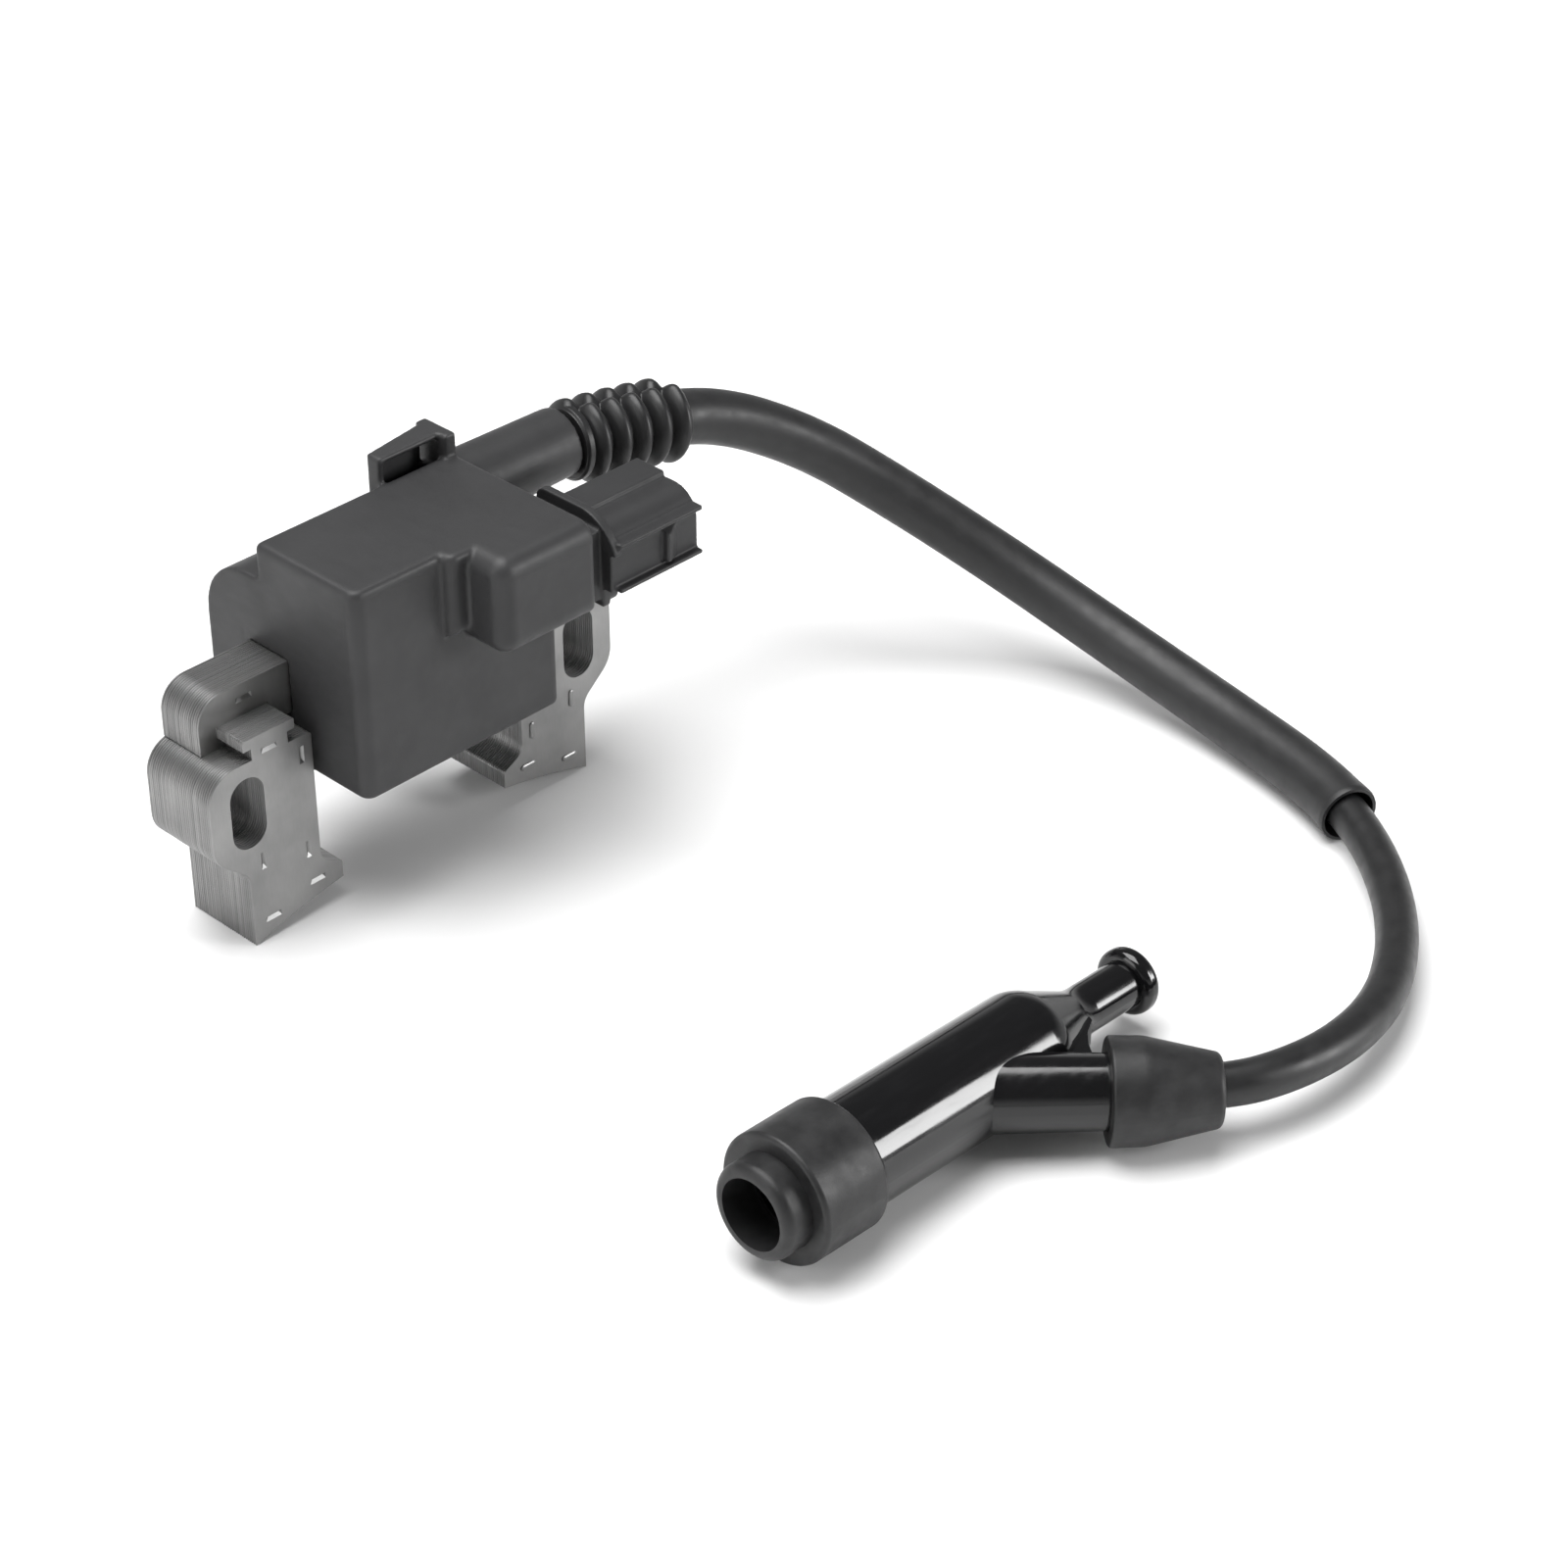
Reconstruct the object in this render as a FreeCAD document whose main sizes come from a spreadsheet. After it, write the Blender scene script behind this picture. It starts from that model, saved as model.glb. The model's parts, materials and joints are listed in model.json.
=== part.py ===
# Flywheel ignition coil with its high-tension lead and spark plug cap.
#
# Frame, in millimetres: +Z up from the surface the coil stands on, X along the core bar,
# -Y towards the side with the raised boss. The origin is at the middle of the coil's base,
# which is measured without the lead and what is on it.
import FreeCAD, Part
import math
import os

import Sketcher

Vector = FreeCAD.Vector
doc = FreeCAD.newDocument("ignition_coil")

# ---------------------------------------------------------------- driving dimensions
DIMENSIONS = {
    # laminated core
    "core_centre": -1.0, "core_front": -2.5, "bolt_spacing": 72.0, "slot_wide": 6.8,
    "slot_long": 13.1, "slot_level": 25.5, "leg_stack": 16.0, "bar_stack": 9.5,
    "shoulder_level": 34.9, "bar_top": 44.6, "bar_overhang": 3.5, "bar_corner": 5.0,
    "lobe_reach": 7.5, "foot_reach": 0.9, "leg_inner": 13.7, "toe_reach": 18.0,
    "tee_level": 36.9, "tee_top": 38.9, "tee_inner": 10.5, "neck_inner": 9.0,
    "neck_outer": 1.6, "flywheel_radius": 121.4, "flywheel_level": -115.7,
    "interlock_long": 3.2, "interlock_wide": 1.0, "interlock_deep": 0.4,
    # moulded case
    "case_left": -22.0, "case_right": 20.0, "case_front": -14.0, "case_back": 10.3,
    "case_base": 25.3, "case_top": 63.9, "rear_back": 24.0, "rear_top": 57.2,
    "rear_corner": 11.0, "wall": 1.8, "edge": 1.2, "front_corner": 2.2,
    "boss_front": -24.0, "boss_left": -0.4, "boss_base": 46.5, "boss_corner": 3.2,
    "ledge_front": -16.2, "ledge_left": -4.2, "ledge_base": 49.0, "ledge_corner": 2.0,
    "tower_side": 11.2, "tower_level": 55.6, "tower_end": 44.5, "tower_root": 6.7,
    "tower_mouth": 6.2, "clip_left": 4.6, "clip_right": 19.7,
    "clip_top": 68.1, "clip_plate": 1.1, "clip_deep": 3.2, "clip_flare": 5.4,
    "arm_wide": 2.4, "arm_front": 8.6, "arm_back": 16.2, "clip_wall_base": 53.2,
    "clip_wall_turn": 3.6, "clip_gap": 0.8,
    # coils inside
    "bobbin_bore": 0.2, "bobbin_wall": 0.8, "primary_build": 1.7, "secondary_build": 2.9,
    "coil_half": 16.5, "flange_thick": 0.8, "potting_gap": 1.5,
    # connector
    "plate_start": 24.8, "plate_thick": 1.6, "plate_top": 61.3, "plate_front": -23.7,
    "plate_back": -4.6, "plate_base": 54.8, "plate_foot": 44.4, "plate_corner": 9.0, "foot_front": -20.2,
    "shell_end": 44.5, "shell_top": 59.0, "shell_corner": 5.0, "shell_rib": 56.0, "step_reach": 1.0,
    "shell_base": 47.8, "shell_back": -7.9, "shell_side": -22.2, "shell_wall": 1.5,
    "rib_reach": 1.3, "blade_long": 24.0, "blade_wide": 2.8, "blade_thick": 0.8,
    # lead
    "lead_radius": 3.5, "conductor_radius": 0.8, "sleeve_radius": 5.0,
    "sleeve_bore": 4.2, "boot_radius": 7.5, "boot_valley": 5.9, "boot_pitch": 4.6,
    "boot_bore": 4.2,
    # plug cap, along its own axis from the open end
    "ring_radius": 7.8, "ring_long": 4.8, "cap_bore": 5.8, "seal_radius": 10.7,
    "seal_long": 18.0, "tube_radius": 9.0, "tube_start": 6.8, "tube_end": 60.4,
    "stem_radius": 4.0, "stem_start": 71.6, "knob_start": 83.2, "knob_radius": 5.6,
    "cap_length": 86.6, "plug_room": 5.1, "plug_room_end": 35.0, "contact_end": 59.5,
    # branch of the cap and its seal, along the branch from the cap's axis
    "branch_start": 41.9, "branch_root": 6.3, "branch_tip": 5.8, "branch_long": 32.0,
    "branch_angle": 43.8, "web_thick": 4.4, "lead_stop": 18.0, "lead_seal_start": 24.3,
    "lead_seal_big": 8.5, "lead_seal_small": 5.7, "lead_seal_end": 41.6,
}

sheet = doc.addObject("Spreadsheet::Sheet", "dims")
for row, (alias, value) in enumerate(DIMENSIONS.items(), start=1):
    sheet.set(f"A{row}", alias.replace("_", " "))
    sheet.set(f"B{row}", str(value))
    sheet.setAlias(f"B{row}", alias)
doc.recompute()

# The lead's route, from inside the case's tower to inside the cap's branch.
LEAD_ROUTE = [
    Vector(28.0, 11.2, 55.6), Vector(40.0, 11.2, 55.6), Vector(58.5, 9.4, 53.6),
    Vector(76.5, 7.3, 50.6), Vector(93.0, 0.0, 41.4), Vector(104.6, -10.9, 30.5),
    Vector(114.4, -28.3, 19.2), Vector(119.5, -51.2, 10.2), Vector(119.1, -77.0, 5.7),
    Vector(113.7, -103.4, 5.4), Vector(105.3, -119.8, 5.3), Vector(91.9, -135.0, 5.2),
    Vector(75.7, -145.8, 6.1), Vector(60.9, -150.5, 7.4), Vector(45.6, -150.5, 8.7),
    Vector(31.7, -145.4, 9.2), Vector(18.1, -132.5, 9.5),
]
SLEEVE_FIRST_RUN = 2
SLEEVE_LAST_RUN = 9

# The plug cap lies on the surface: its open end, and the way its axis and branch point.
CAP_ORIGIN = Vector(-40.0, -117.18, 11.68)
CAP_AXIS = Vector(0.9990, 0.0033, -0.0443)
CAP_BRANCH_SIDE = Vector(0.0045, -0.9997, 0.0254)


# ---------------------------------------------------------------- helpers
def size(expression):
    """The number an expression over the sheet's aliases stands for."""
    return float(sheet.evalExpression(over_sheet(expression)))


def bind(obj, **expressions):
    """Bind properties to expressions over the sheet, such as Length="wall * 2"."""
    for path, expression in expressions.items():
        obj.setExpression(path.replace("__", "."), over_sheet(expression))


def over_sheet(expression):
    """Write each alias in an expression as a reference to the sheet."""
    words = str(expression).split(" ")
    return " ".join(f"dims.{w}" if w in DIMENSIONS else w for w in words)


def block(label, low, high):
    """A box between two corners, each given as three expressions."""
    obj = doc.addObject("Part::Box", label)
    lengths = [f"( {b} ) - ( {a} )" for a, b in zip(low, high)]
    bind(obj, Length=lengths[0], Width=lengths[1], Height=lengths[2])
    for axis, value in zip("xyz", low):
        obj.setExpression(f"Placement.Base.{axis}", over_sheet(value))
    return obj


def rod(label, radius, start, end, side, level):
    """A round bar along +X."""
    obj = doc.addObject("Part::Cylinder", label)
    bind(obj, Radius=radius, Height=f"( {end} ) - ( {start} )")
    obj.Placement.Rotation = FreeCAD.Rotation(Vector(0, 1, 0), 90)
    for axis, value in zip("xyz", (start, side, level)):
        obj.setExpression(f"Placement.Base.{axis}", over_sheet(value))
    return obj


def fused(label, pieces):
    obj = doc.addObject("Part::MultiFuse", label)
    obj.Shapes = pieces
    obj.Refine = True
    return obj


def cut(label, base, tool):
    obj = doc.addObject("Part::Cut", label)
    obj.Base, obj.Tool = base, tool
    return obj


def rounded(label, base, picks):
    """Round edges of a Part object: picks are (test of the edge's two ends, radius)."""
    doc.recompute()
    chosen = []
    for number, edge in enumerate(base.Shape.Edges, start=1):
        ends = [v.Point for v in edge.Vertexes]
        for test, radius in picks:
            if len(ends) == 2 and all(test(p) for p in ends):
                chosen.append((number, size(radius), size(radius)))
                break
    obj = doc.addObject("Part::Fillet", label)
    obj.Base = base
    obj.Edges = chosen
    return obj


def near(value, expression):
    return abs(value - size(expression)) < 0.01


def profile_sketch(body, role, corners):
    """A closed outline of straight lines, each corner held at its two expressions."""
    plane = next(o for o in body.Origin.OriginFeatures if o.Role == role)
    sketch = body.newObject("Sketcher::SketchObject", body.Name + "_sketch")
    sketch.AttachmentSupport = (plane, [""])
    sketch.MapMode = "FlatFace"
    points = [Vector(size(x), size(y), 0) for x, y in corners]
    count = len(points)
    for i in range(count):
        sketch.addGeometry(Part.LineSegment(points[i], points[(i + 1) % count]), False)
    for i in range(count):
        sketch.addConstraint(Sketcher.Constraint("Coincident", i, 2, (i + 1) % count, 1))
    for i, corner in enumerate(corners):
        for kind, axis, expression in zip(("DistanceX", "DistanceY"), (-2, -1), corner):
            value = size(expression)
            if abs(value) < 1e-9:
                sketch.addConstraint(Sketcher.Constraint("PointOnObject", i, 1, axis))
            else:
                made = sketch.addConstraint(Sketcher.Constraint(kind, -1, 1, i, 1, value))
                sketch.setExpression(f"Constraints[{made}]", over_sheet(expression))
    return sketch


def padded(label, role, corners, depth, reverse=False):
    """A body padded from an outline."""
    body = doc.addObject("PartDesign::Body", label)
    sketch = profile_sketch(body, role, corners)
    pad = body.newObject("PartDesign::Pad", label + "_pad")
    pad.Profile = sketch
    pad.setExpression("Length", over_sheet(depth))
    pad.Reversed = reverse
    sketch.Visibility = False
    doc.recompute()
    return body


def turned(label, corners):
    """A body turned about its own Z from (radius, height) corners."""
    body = doc.addObject("PartDesign::Body", label)
    sketch = profile_sketch(body, "XZ_Plane", corners)
    turn = body.newObject("PartDesign::Revolution", label + "_turn")
    turn.Profile = sketch
    turn.ReferenceAxis = (sketch, ["V_Axis"])
    turn.Angle = 360
    sketch.Visibility = False
    doc.recompute()
    return body


def soften(body, picks):
    """Fillet a body's edges: picks are (list of (x, y) or (radius, height), radius)."""
    for spots, radius in picks:
        base = body.Tip
        names = []
        for number, edge in enumerate(base.Shape.Edges, start=1):
            if any(edge_at(edge, size(a), size(b)) for a, b in spots):
                names.append(f"Edge{number}")
        fillet = body.newObject("PartDesign::Fillet", body.Name + "_round")
        fillet.Base = (base, names)
        fillet.setExpression("Radius", over_sheet(radius))
        doc.recompute()
    return body


def edge_at(edge, a, b):
    """Is this the turned edge of radius a at height b, or the padded edge at (a, b)?"""
    curve = edge.Curve
    if isinstance(curve, Part.Circle):
        on_axis = math.hypot(curve.Center.x, curve.Center.y) < 0.01
        return on_axis and abs(curve.Radius - a) < 0.01 and abs(curve.Center.z - b) < 0.01
    ends = [v.Point for v in edge.Vertexes]
    return len(ends) == 2 and all(math.hypot(p.x - a, p.z - b) < 0.01 for p in ends)


def feature(label, shape):
    obj = doc.addObject("Part::Feature", label)
    obj.Shape = shape
    return obj


# ---------------------------------------------------------------- laminated core
LEG_ROOT = "core_centre - bolt_spacing / 2"


def leg_corners():
    """A pole leg's outline, X measured from its outermost point towards the coil."""
    return [
        ("lobe_reach - foot_reach", "0"),
        ("lobe_reach + toe_reach", "0"),
        ("lobe_reach + toe_reach", "7.6"),
        ("lobe_reach + leg_inner", "9.7"),
        ("lobe_reach + leg_inner", "shoulder_level"),
        ("lobe_reach + neck_inner", "shoulder_level"),
        ("lobe_reach + neck_inner", "tee_level"),
        ("lobe_reach + tee_inner", "tee_level"),
        ("lobe_reach + tee_inner", "tee_top"),
        ("lobe_reach", "tee_top"),
        ("lobe_reach", "tee_level"),
        ("lobe_reach + neck_outer", "tee_level"),
        ("lobe_reach + neck_outer", "shoulder_level"),
        ("0", "shoulder_level"),
        ("0", "19.2"),
        ("lobe_reach - foot_reach", "13.6"),
    ]


# Each interlock: its middle along the leg from the slot's centre line, its level, upright?
INTERLOCKS = [
    (5.1, 35.7, False), (11.4, 31.3, True), (2.1, 15.4, True),
    (11.3, 13.1, True), (12.6, 6.5, False), (3.1, 3.95, False),
]


def interlocks(label, depth_from, depth_to):
    """Small oblongs that key the sheets of a leg together, as one compound."""
    solids = []
    for along, level, upright in INTERLOCKS:
        long, wide = size("interlock_long"), size("interlock_wide")
        across, high = (wide, long) if upright else (long, wide)
        corner = Vector(size("lobe_reach") + along - across / 2, depth_from, level - high / 2)
        solids.append(Part.makeBox(across, depth_to - depth_from, high, corner))
    return feature(label, Part.makeCompound(solids))


def bolt_slot(label):
    """The upright slot of one leg, in the leg's own place."""
    half, end = "slot_wide / 2", "slot_long / 2 - slot_wide / 2"
    middle = block(
        label + "_middle",
        (f"lobe_reach - {half}", "-1", f"slot_level - ( {end} )"),
        (f"lobe_reach + {half}", "leg_stack + 1", f"slot_level + {end}"),
    )
    ends = []
    for name, sign in (("top", "+"), ("base", "-")):
        obj = doc.addObject("Part::Cylinder", f"{label}_{name}")
        bind(obj, Radius=half, Height="leg_stack + 2")
        obj.Placement.Rotation = FreeCAD.Rotation(Vector(1, 0, 0), -90)
        obj.Placement.Base = Vector(0, -1, 0)
        bind(obj, Placement__Base__x="lobe_reach")
        bind(obj, Placement__Base__z=f"slot_level {sign} ( {end} )")
        ends.append(obj)
    return fused(label, [middle] + ends)


def pole_leg(label, mirrored):
    """One stack of sheets: slot, pole face on the flywheel's arc, interlocks."""
    body = padded(label + "_stack", "XZ_Plane", leg_corners(), "leg_stack", reverse=True)
    soften(body, [
        ([("0", "shoulder_level")], "5.5"),
        ([("0", "19.2")], "5.6"),
        ([("lobe_reach - foot_reach", "13.6")], "3.4"),
        ([("lobe_reach + leg_inner", "9.7")], "3"),
        ([("lobe_reach + toe_reach", "7.6"), ("lobe_reach + leg_inner", "shoulder_level")], "0.9"),
        ([("lobe_reach", "tee_top"), ("lobe_reach + tee_inner", "tee_top")], "0.4"),
    ])
    stack, deep = size("leg_stack"), size("interlock_deep")
    proud = interlocks(label + "_bumps", stack, stack + deep)
    sunk = interlocks(label + "_pits", 0, deep)
    wheel = doc.addObject("Part::Cylinder", label + "_wheel")
    bind(wheel, Radius="flywheel_radius", Height="leg_stack + 2")
    wheel.Placement.Rotation = FreeCAD.Rotation(Vector(1, 0, 0), -90)
    wheel.Placement.Base = Vector(0, -1, 0)
    bind(wheel, Placement__Base__x="bolt_spacing / 2 + lobe_reach")
    bind(wheel, Placement__Base__z="flywheel_level")
    raised = fused(label + "_raised", [body, proud])
    away = fused(label + "_away", [bolt_slot(label + "_slot"), wheel, sunk])
    leg = cut(label, raised, away)
    if mirrored:
        leg.Placement.Rotation = FreeCAD.Rotation(Vector(0, 0, 1), 180)
        bind(leg, Placement__Base__x="core_centre + bolt_spacing / 2 + lobe_reach")
        bind(leg, Placement__Base__y="core_front + leg_stack")
    else:
        bind(leg, Placement__Base__x=LEG_ROOT + " - lobe_reach")
        bind(leg, Placement__Base__y="core_front")
    return leg


def core_bar():
    """The bar through the coils, with a T-slot over each leg's head."""
    length = "( bolt_spacing + 2 * bar_overhang )"
    high = "( bar_top - shoulder_level )"
    neck = "( tee_level - shoulder_level )"
    head = "( tee_top - shoulder_level )"
    tee = [
        ("bar_overhang + neck_outer", "0"), ("bar_overhang + neck_outer", neck),
        ("bar_overhang", neck), ("bar_overhang", head),
        ("bar_overhang + tee_inner", head), ("bar_overhang + tee_inner", neck),
        ("bar_overhang + neck_inner", neck), ("bar_overhang + neck_inner", "0"),
    ]
    other = [(f"{length} - ( {x} )", y) for x, y in reversed(tee)]
    corners = [("0", "0")] + tee + other + [(length, "0"), (length, high), ("0", high)]
    body = padded("core_bar", "XZ_Plane", corners, "bar_stack", reverse=True)
    soften(body, [([("0", high), (length, high)], "bar_corner")])
    bind(body, Placement__Base__x=LEG_ROOT + " - bar_overhang")
    bind(body, Placement__Base__y="core_front + leg_stack - bar_stack")
    bind(body, Placement__Base__z="shoulder_level")
    return body


legs = [pole_leg("pole_leg_left", False), pole_leg("pole_leg_right", True)]
bar = core_bar()


# ---------------------------------------------------------------- coils round the bar
BAR_FRONT = "core_front + leg_stack - bar_stack"
BAR_BACK = "core_front + leg_stack"


def ring(label, inner, outer, start, end):
    """A square tube round the core bar, between two distances from the bar's faces."""
    solids = []
    for name, gap, extra in (("outer", outer, "0"), ("inner", inner, "1")):
        solids.append(block(
            f"{label}_{name}",
            (f"{start} - {extra}", f"{BAR_FRONT} - ( {gap} )", f"shoulder_level - ( {gap} )"),
            (f"{end} + {extra}", f"{BAR_BACK} + {gap}", f"bar_top + {gap}"),
        ))
    return cut(label, solids[0], solids[1])


BOBBIN_OUT = "bobbin_bore + bobbin_wall"
PRIMARY_OUT = f"{BOBBIN_OUT} + primary_build"
SECOND_IN = f"{PRIMARY_OUT} + 0.3"
SECOND_CORE = f"{SECOND_IN} + bobbin_wall"
SECOND_OUT = f"{SECOND_CORE} + secondary_build"


def bobbin(label, inner, core, flange, sections):
    """A winding form: a square tube with a flange at each end of every section."""
    pieces = [ring(label + "_tube", inner, core, "core_centre - coil_half", "core_centre + coil_half")]
    pitch = f"( 2 * coil_half - flange_thick ) / {sections}"
    for i in range(sections + 1):
        start = f"core_centre - coil_half + {pitch} * {i}"
        pieces.append(ring(f"{label}_flange_{i}", inner, flange, start, f"{start} + flange_thick"))
    return fused(label, pieces)


def winding(label, inner, outer, sections):
    """Wire packed between the flanges, one solid per section."""
    pitch = f"( 2 * coil_half - flange_thick ) / {sections}"
    pieces = []
    for i in range(sections):
        start = f"core_centre - coil_half + {pitch} * {i} + flange_thick"
        end = f"core_centre - coil_half + {pitch} * {i + 1}"
        pieces.append(ring(f"{label}_{i}", inner, outer, start, end))
    if sections == 1:
        pieces[0].Label = label
        return pieces[0]
    group = doc.addObject("Part::Compound", label)
    group.Links = pieces
    return group


SECTIONS = 5
primary_bobbin = bobbin("primary_bobbin", "bobbin_bore", BOBBIN_OUT, PRIMARY_OUT, 1)
primary_winding = winding("primary_winding", BOBBIN_OUT, PRIMARY_OUT, 1)
secondary_bobbin = bobbin("secondary_bobbin", SECOND_IN, SECOND_CORE, SECOND_OUT, SECTIONS)
secondary_winding = winding("secondary_winding", SECOND_CORE, f"{SECOND_OUT} - 0.2", SECTIONS)

# ---------------------------------------------------------------- circuit inside the case
board = block("igniter_board", ("-17.5", "-8.6", "30"), ("16", "-7.4", "60"))
transistor = block("power_transistor", ("-12", "-11.8", "34"), ("-2", "-8.6", "46"))
chip = block("control_chip", ("3", "-10.2", "38"), ("9", "-8.6", "43"))
capacitor = rod("capacitor", "2.6", "3", "14", "-16.5", "58.5")
strap = block("ground_strap", ("-19.5", "-7.4", "41"), ("-18", BAR_FRONT, "42.2"))
spike = rod("high_voltage_terminal", "1.2", "10", "28", "tower_side", "tower_level")


def terminals():
    """Two flat blades from the circuit out into the connector."""
    pieces = []
    for i, side in enumerate(("-17.6", "-12.2")):
        low = ("16", f"{side} - blade_wide / 2", "53.4")
        high = ("16 + blade_long", f"{side} + blade_wide / 2", "53.4 + blade_thick")
        pieces.append(block(f"blade_{i}", low, high))
    group = doc.addObject("Part::Compound", "connector_terminals")
    group.Links = pieces
    return group


blades = terminals()

# ---------------------------------------------------------------- moulded case


def case_body():
    """The box over the coils, its lower rear section, boss, ledge, tower and clip."""
    edge = [
        (lambda p: near(p.y, "case_front") and near(p.x, "case_left"), "front_corner"),
        (lambda p: True, "edge"),
    ]
    main = rounded("main_box", block(
        "main_block", ("case_left", "case_front", "case_base"),
        ("case_right", "case_back", "case_top")), edge)
    rear = rounded("rear_box", block(
        "rear_block", ("case_left", "0", "case_base"), ("case_right", "rear_back", "rear_top"),
    ), [
        (lambda p: near(p.y, "rear_back") and near(p.z, "rear_top"), "rear_corner"),
    ])
    boss = rounded("boss", block(
        "boss_block", ("boss_left", "boss_front", "boss_base"), ("case_right", "0", "case_top"),
    ), [
        (lambda p: near(p.y, "boss_front") and near(p.z, "case_top"), "boss_corner"),
        (lambda p: near(p.y, "boss_front") and near(p.z, "boss_base"), "boss_corner"),
        (lambda p: near(p.y, "boss_front") and near(p.x, "boss_left"), "boss_corner"),
        (lambda p: near(p.x, "boss_left") and near(p.z, "boss_base"), "boss_corner"),
        (lambda p: near(p.x, "boss_left") and near(p.z, "case_top"), "boss_corner"),
        (lambda p: near(p.y, "boss_front") and near(p.x, "case_right"), "edge"),
        (lambda p: near(p.z, "case_top"), "edge"),
    ])
    ledge = rounded("ledge", block(
        "ledge_block", ("ledge_left", "ledge_front", "ledge_base"), ("8", "0", "case_top"),
    ), [
        (lambda p: near(p.y, "ledge_front") and near(p.x, "ledge_left"), "ledge_corner"),
        (lambda p: near(p.y, "ledge_front") and near(p.z, "ledge_base"), "ledge_corner"),
        (lambda p: near(p.y, "ledge_front") and near(p.z, "case_top"), "edge"),
        (lambda p: near(p.x, "ledge_left") and near(p.z, "case_top"), "edge"),
    ])
    tower = doc.addObject("Part::Cone", "tower")
    bind(tower, Radius1="tower_root", Radius2="tower_mouth", Height="tower_end - case_right + 4")
    tower.Placement.Rotation = FreeCAD.Rotation(Vector(0, 1, 0), 90)
    for axis, value in zip("xyz", ("case_right - 4", "tower_side", "tower_level")):
        tower.setExpression(f"Placement.Base.{axis}", over_sheet(value))
    return fused("case_outside", [main, rear, boss, ledge, tower] + clip())


def clip():
    """The pocket on the case's back edge: a plate over a leg, a back wall and an arm."""
    plate = padded("clip_plate_top", "XY_Plane", [
        ("0", "0"), ("clip_right - clip_left", "0"),
        ("clip_right - clip_left", "clip_flare"), ("0", "clip_deep"),
    ], "clip_plate")
    plate.Placement.Base = Vector(size("clip_left"), size("case_back"), 0)
    bind(plate, Placement__Base__z="clip_top - clip_plate")
    left = block("clip_leg", ("clip_left", "case_back", "case_base + 25"),
                 ("clip_left + clip_plate", "case_back + clip_deep", "clip_top"))
    wall_end = "clip_right - clip_left - arm_wide - clip_gap"
    wall = padded("clip_wall", "XY_Plane", [
        ("0", "clip_deep - clip_plate"), (wall_end, "clip_wall_turn"),
        (wall_end, "clip_wall_turn + clip_plate"), ("0", "clip_deep"),
    ], "clip_top - clip_plate - clip_wall_base")
    wall.Placement.Base = Vector(size("clip_left"), size("case_back"), 0)
    bind(wall, Placement__Base__z="clip_wall_base")
    arm = block("clip_arm", ("clip_right - arm_wide", "arm_front", "case_base + 25"),
                ("clip_right", "arm_back", "clip_top"))
    return [plate, left, wall, arm]


def cavity(label, stop):
    """The room inside the case, open at the back, filled up to the given Y."""
    front = block(label + "_front", ("case_left + wall", "case_front + wall", "case_base + wall"),
                  ("case_right - wall", "case_back - wall", "case_top - wall"))
    curve = rounded(label + "_curve", block(
        label + "_curved", ("case_left + wall", "0", "case_base + wall"),
        ("case_right - wall", "rear_back - wall", "rear_top - wall"),
    ), [
        (lambda p: near(p.y, "rear_back - wall") and near(p.z, "rear_top - wall"),
         "rear_corner - wall"),
    ])
    mouth = block(label + "_mouth", ("case_left + wall", "0", "case_base + wall"),
                  ("case_right - wall", stop, "rear_top - rear_corner"))
    boss = block(label + "_boss", ("boss_left + wall", "boss_front + wall", "boss_base + wall"),
                 ("case_right - wall", "0", "case_top - wall"))
    return fused(label, [front, curve, mouth, boss])


def through_bar(label):
    """The core bar's own room, running out through both side walls."""
    return block(label, ("case_left - 1", BAR_FRONT, "shoulder_level"),
                 ("case_right + 1", BAR_BACK, "bar_top"))


def room_for(label, pieces):
    """Copies of inner pieces, so that a solid can be cut to fit them."""
    group = doc.addObject("Part::Compound", label)
    group.Links = pieces
    return group


lead_bore = rod("lead_bore", "lead_radius + 0.1", "24", "tower_end + 1", "tower_side", "tower_level")
slit = block("case_slit", ("case_left - 1", "14.3", "43.2"), ("case_left + 0.8", "14.9", "46.2"))
case_away = fused("case_away", [
    cavity("case_room", "rear_back + 1"), through_bar("bar_room"), lead_bore, slit,
])
case = cut("case", cut("case_hollow", case_body(), case_away), room_for("case_pins", [spike, blades]))

coil_block = block(
    "coil_block",
    ("core_centre - coil_half", f"{BAR_FRONT} - ( {SECOND_OUT} )", f"shoulder_level - ( {SECOND_OUT} )"),
    ("core_centre + coil_half", f"{BAR_BACK} + {SECOND_OUT}", f"bar_top + {SECOND_OUT}"),
)
potting_away = fused("potting_away", [
    coil_block, through_bar("bar_clear"), board, transistor, chip, capacitor, strap, spike,
])
potting = cut("potting", cut("potting_block", cavity("potting_room", "rear_back - potting_gap"),
                             potting_away), room_for("potting_pins", [blades]))

# ---------------------------------------------------------------- connector


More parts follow.
